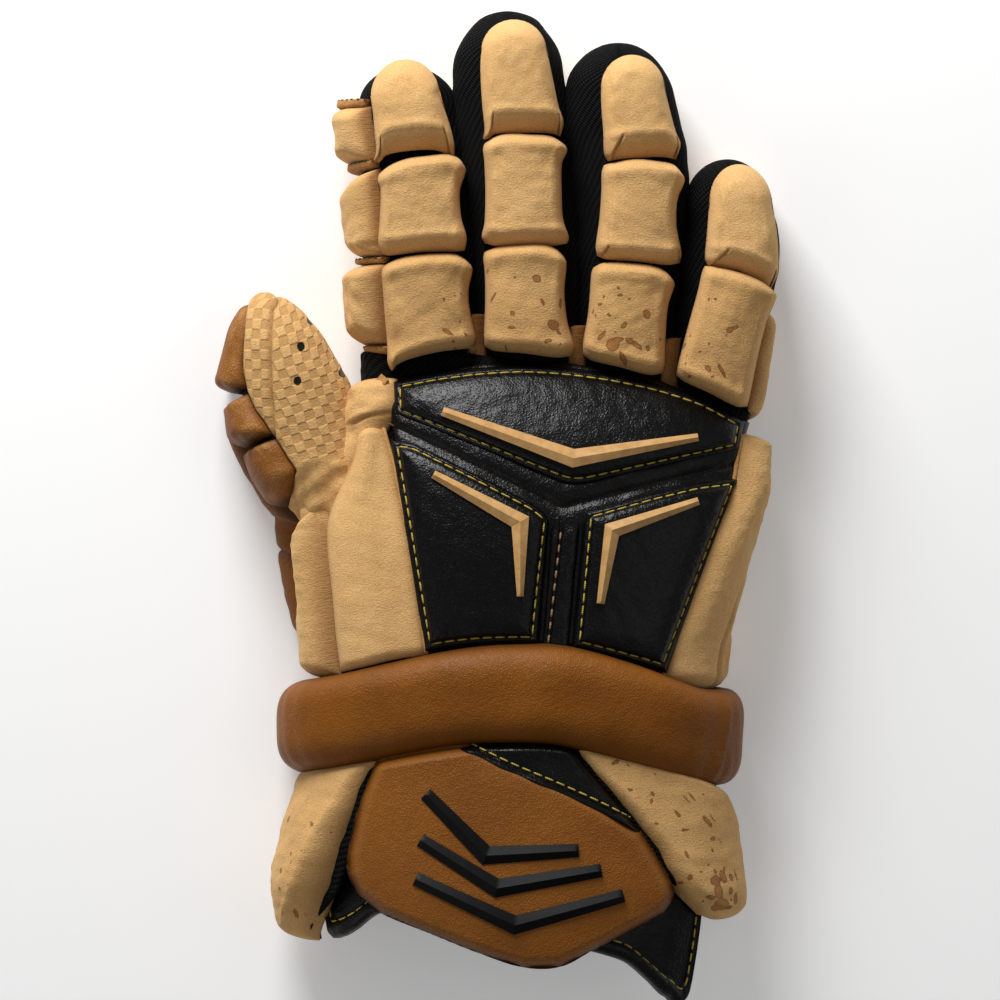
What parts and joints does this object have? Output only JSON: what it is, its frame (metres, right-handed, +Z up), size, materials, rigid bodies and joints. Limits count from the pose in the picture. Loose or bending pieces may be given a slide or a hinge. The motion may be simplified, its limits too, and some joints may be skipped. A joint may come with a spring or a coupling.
{
  "type": "lacrosse glove",
  "caption": "Right-hand lacrosse glove with a hollow hand, segmented foam finger pads, padded back panels, a roll at the wrist and a flared padded cuff open underneath.",
  "frame": {"origin": "on the flat outer face of the palm, under the middle of the hand, where it rests on the floor", "axes": "+X to the little finger, +Y to the fingertips, +Z up from the palm through the back of the hand"},
  "size_m": [0.1881, 0.3302, 0.0662],
  "materials": {
    "black_mesh": "knitted mesh",
    "palm_suede": "napped microfibre suede",
    "checked_suede": "suede with an embossed check",
    "pad_suede": "napped microfibre suede over foam",
    "speckled_suede": "napped suede over foam with a brown splatter print",
    "black_leather": "grained, semi-gloss, yellow topstitching",
    "black_moulding": "raised rubbery print",
    "tan_moulding": "moulded, smooth",
    "brown_leather": "grained, burnished brown"
  },
  "bodies": {
    "root": {"hand_shell": "black_mesh", "index_sleeve": "black_mesh", "middle_sleeve": "black_mesh", "ring_sleeve": "black_mesh", "pinky_sleeve": "black_mesh", "thumb_sleeve": "black_mesh", "palm": "palm_suede", "index_palm": "palm_suede", "middle_palm": "palm_suede", "ring_palm": "palm_suede", "pinky_palm": "palm_suede", "thumb_palm": "checked_suede", "index_tip_pad": "pad_suede", "index_mid_pad": "pad_suede", "middle_tip_pad": "pad_suede", "middle_mid_pad": "pad_suede", "ring_tip_pad": "pad_suede", "ring_mid_pad": "pad_suede", "pinky_tip_pad": "pad_suede", "index_side_roll_tip": "pad_suede", "index_side_roll_mid": "pad_suede", "index_side_roll_base": "pad_suede", "pinky_side_roll": "pad_suede", "thumb_side_pad": "pad_suede", "thumb_side_roll": "pad_suede", "pinky_side_pad": "pad_suede", "pinky_low_roll": "pad_suede", "thumb_web_roll": "pad_suede", "index_base_pad": "speckled_suede", "middle_base_pad": "speckled_suede", "ring_base_pad": "speckled_suede", "pinky_base_pad": "speckled_suede", "cuff_flap_left": "speckled_suede", "cuff_flap_right": "speckled_suede", "knuckle_panel": "black_leather", "left_back_panel": "black_leather", "right_back_panel": "black_leather", "centre_channel": "black_leather", "cuff_liner": "black_leather", "cuff_chevron_upper": "black_moulding", "cuff_chevron_middle": "black_moulding", "cuff_chevron_lower": "black_moulding", "knuckle_chevron": "tan_moulding", "left_chevron": "tan_moulding", "right_chevron": "tan_moulding", "wrist_band": "brown_leather", "cuff_pad": "brown_leather", "thumb_tip_pad": "brown_leather", "thumb_mid_pad": "brown_leather", "thumb_base_pad": "brown_leather", "thumb_heel_pad": "brown_leather"}
  },
  "joints": []
}
